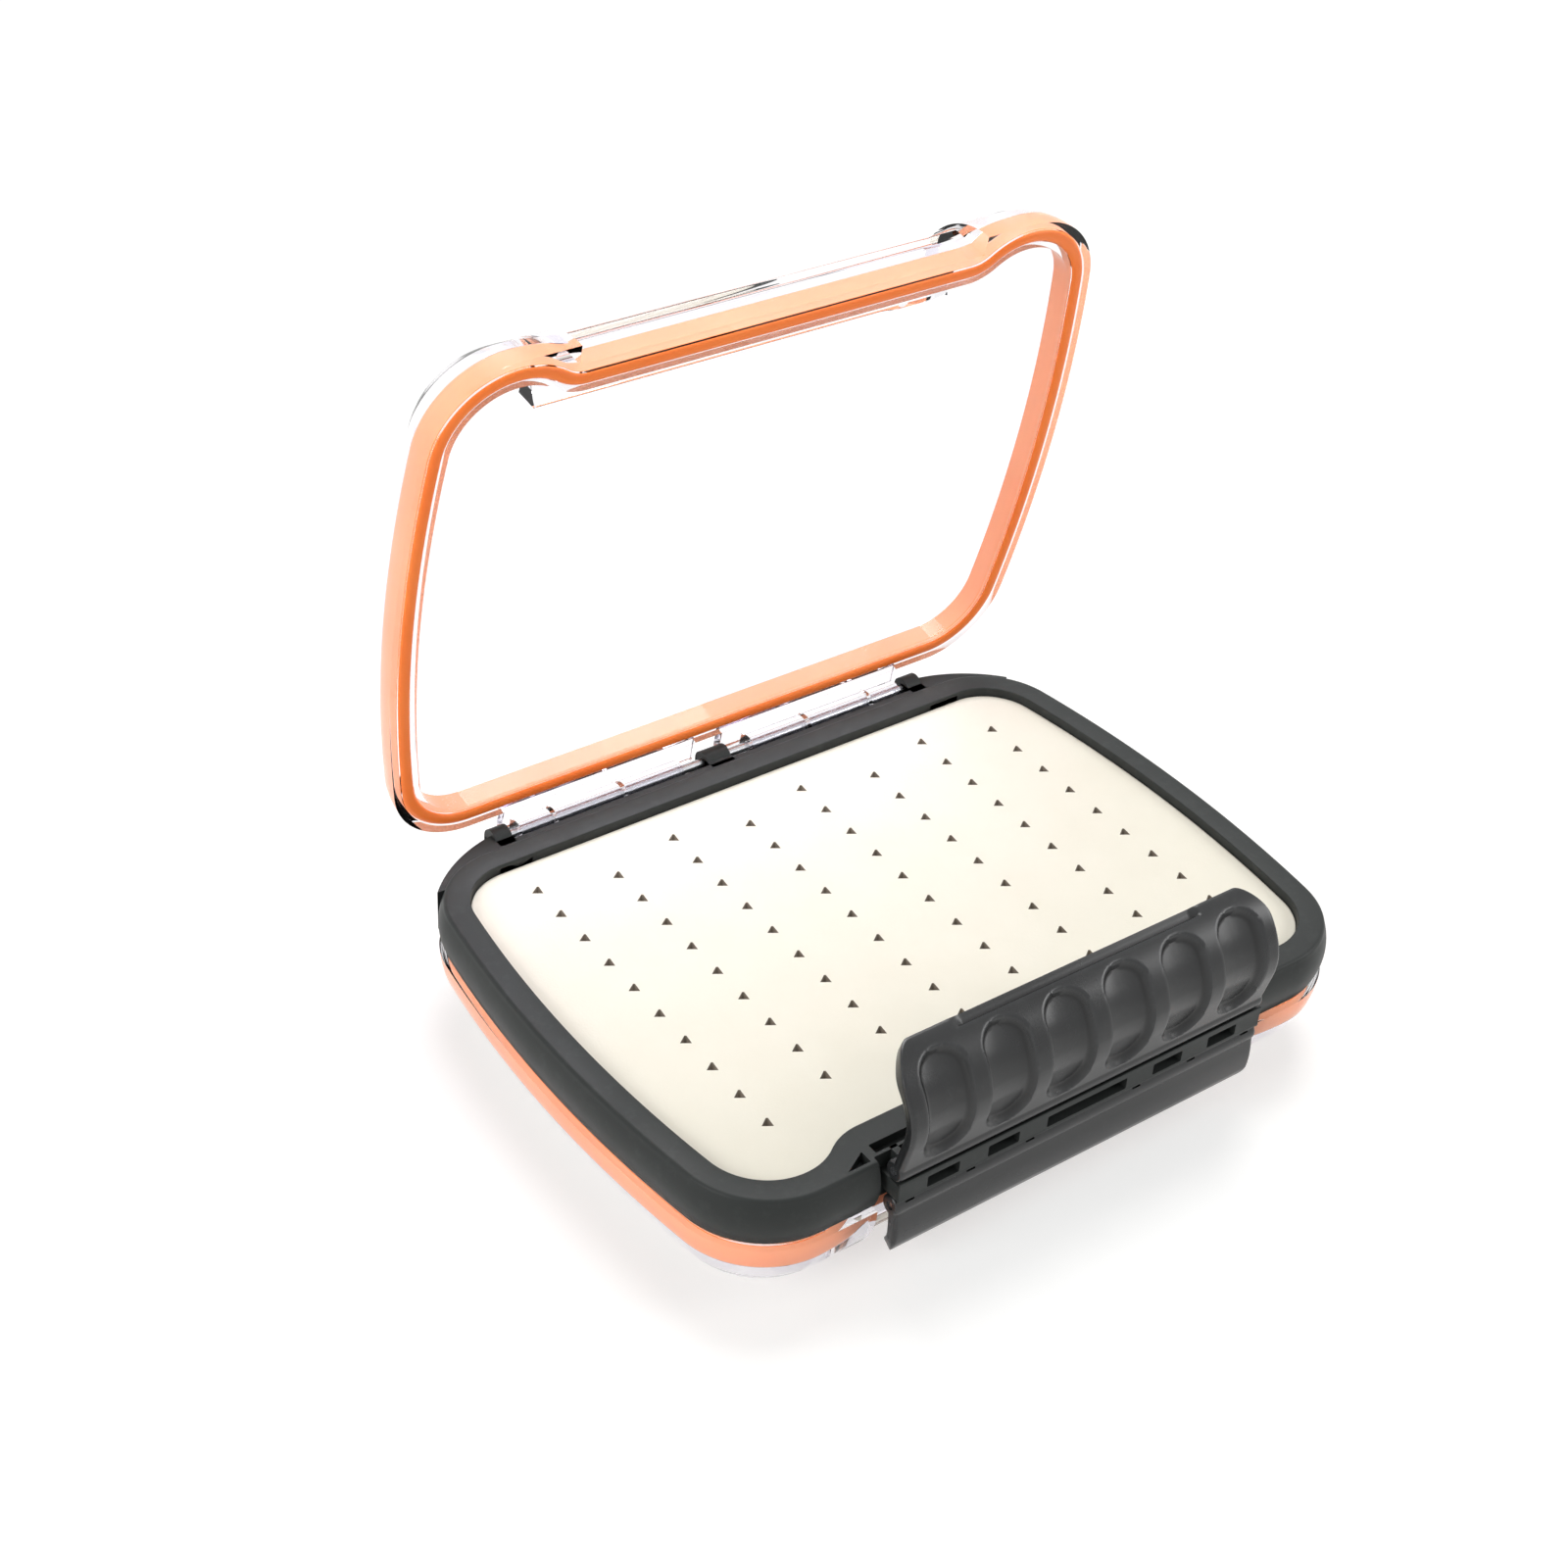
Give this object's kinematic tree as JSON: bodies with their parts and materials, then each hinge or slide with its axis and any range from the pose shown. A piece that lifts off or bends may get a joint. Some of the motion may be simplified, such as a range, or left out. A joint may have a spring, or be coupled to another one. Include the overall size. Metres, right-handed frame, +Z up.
{
  "type": "fly box",
  "caption": "Double-sided fly box: a dark frame with slit foam on each side, clear gasketed lids on rear hinges and front latches, the upper lid standing open.",
  "frame": {"origin": "centre of the lower lid's flat outer face, which the box rests on", "axes": "+X along the hinges, +Y from the latches to the hinges, +Z up"},
  "size_m": [0.1476, 0.129, 0.1321],
  "materials": {
    "frame": "fine satin",
    "foam": "closed-cell foam",
    "clear": "clear plastic",
    "gasket": "soft silicone",
    "latch": "fine satin",
    "pins": "drawn wire"
  },
  "bodies": {
    "case": {"frame": "frame", "upper_foam": "foam", "lower_foam": "foam", "upper_hinge_pin": "pins", "lower_hinge_pin": "pins", "upper_latch_pin": "pins", "lower_latch_pin": "pins"},
    "top_lid": {"upper_lid": "clear", "upper_gasket": "gasket"},
    "bottom_lid": {"lower_lid": "clear", "lower_gasket": "gasket"},
    "top_latch": {"upper_latch": "latch"},
    "bottom_latch": {"lower_latch": "latch"}
  },
  "joints": [
    {"name": "upper_lid_hinge", "type": "hinge", "parent": "case", "child": "top_lid", "pos_m": [0, 0.0564, 0.0239], "axis": [1, 0, 0], "range_deg": [-20, 80.2]},
    {"name": "lower_lid_hinge", "type": "hinge", "parent": "case", "child": "bottom_lid", "pos_m": [0, 0.0564, 0.0181], "axis": [1, 0, 0], "range_deg": [0, 95]},
    {"name": "upper_latch_hinge", "type": "hinge", "parent": "case", "child": "top_latch", "pos_m": [0, -0.0538, 0.0249], "axis": [1, 0, 0], "range_deg": [-30, 70]},
    {"name": "lower_latch_hinge", "type": "hinge", "parent": "case", "child": "bottom_latch", "pos_m": [0, -0.0538, 0.0171], "axis": [1, 0, 0], "range_deg": [-85, 0]}
  ]
}
